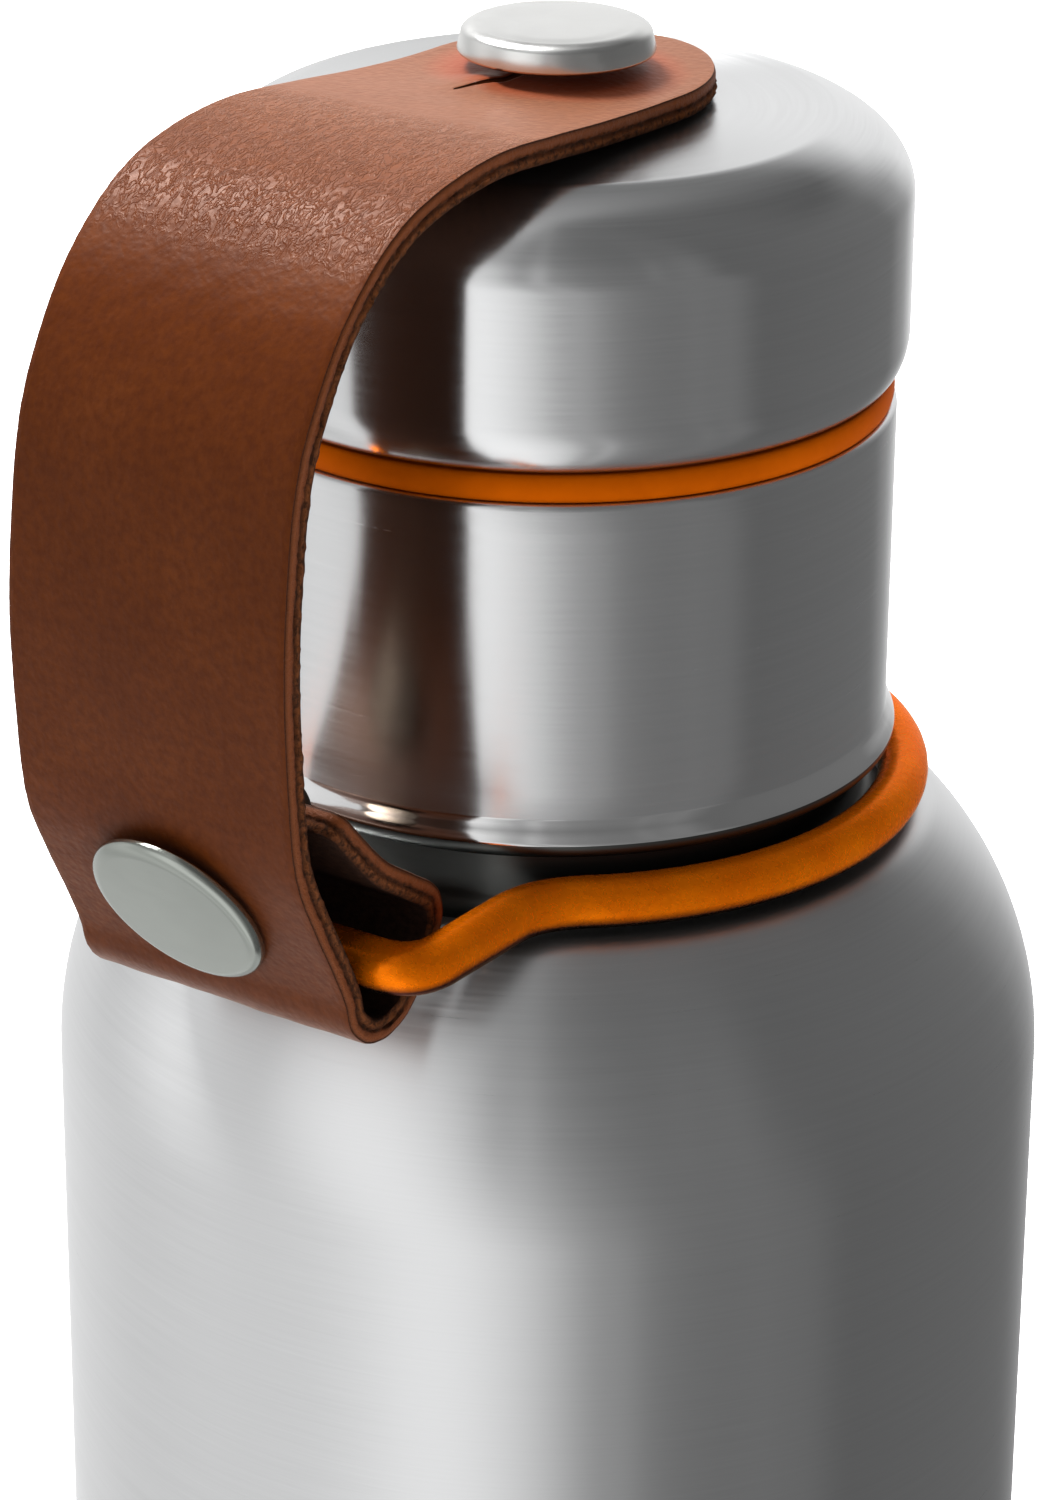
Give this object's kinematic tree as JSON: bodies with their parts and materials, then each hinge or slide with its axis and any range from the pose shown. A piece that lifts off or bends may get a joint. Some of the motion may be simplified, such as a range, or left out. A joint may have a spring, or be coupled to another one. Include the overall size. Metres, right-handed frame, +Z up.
{
  "type": "insulated bottle",
  "caption": "Double-walled steel bottle with a screw cap, a leather carrying handle buttoned to a stud on the lid and an orange wire ring that tethers the handle under the neck collar.",
  "frame": {"origin": "centre of the flat base, on the bottle's axis", "axes": "+Z up along the bottle's axis, -Y towards the leather handle, +X to the right of someone facing the handle"},
  "size_m": [0.073, 0.0839, 0.2398],
  "materials": {
    "shell_steel": "brushed round the body, satin",
    "collar_steel": "finely brushed, polished at the rolled lip",
    "cap_steel": "finely brushed, smoother on the rounded top edge",
    "inner_steel": "dull stainless, as drawn",
    "stud_steel": "smooth satin",
    "seal_rubber": "smooth satin silicone",
    "ring_coat": "fine powder coat",
    "strap_leather": "oiled pebble-grain leather with raw cut edges",
    "core_plastic": "moulded",
    "foam": "closed-cell foam",
    "getter_metal": "sintered",
    "seal_glass": "fused bead"
  },
  "bodies": {
    "bottle": {"outer_shell": "shell_steel", "base_plate": "inner_steel", "base_cover": "shell_steel", "vacuum_seal": "seal_glass", "inner_flask": "inner_steel", "getter": "getter_metal", "neck_collar": "collar_steel"},
    "gasket": {"seal_gasket": "seal_rubber"},
    "cap": {"cap_shell": "cap_steel", "cap_core": "core_plastic", "cap_foam": "foam", "stopper_base": "core_plastic", "strap_stud": "stud_steel", "stud_washer": "inner_steel", "stud_screw": "inner_steel"},
    "handle": {"strap": "strap_leather"},
    "ring": {"tether_ring": "ring_coat", "rivet_cap": "stud_steel", "rivet_back": "stud_steel"}
  },
  "joints": [
    {"name": "cap_lift", "type": "slide", "parent": "bottle", "child": "gasket", "axis": [0, 0, 1], "range_m": [0, 0.00376]},
    {"name": "cap_turn", "type": "hinge", "parent": "gasket", "child": "cap", "pos_m": [0, 0, 0.2], "axis": [0, 0, 1], "range_deg": [0, 450]},
    {"name": "handle_swivel", "type": "hinge", "parent": "cap", "child": "handle", "pos_m": [0, 0, 0.236], "axis": [0, 0, 1], "continuous": true},
    {"name": "ring_float", "type": "slide", "parent": "handle", "child": "ring", "axis": [0, 0, 1], "range_m": [-0.00376, 0], "deforming": ["strap"]}
  ],
  "couplings": [
    {"joint": "cap_lift", "follows": "cap_turn", "m_per_rad": 0.00047746},
    {"joint": "ring_float", "follows": "cap_turn", "m_per_rad": -0.00047746}
  ]
}
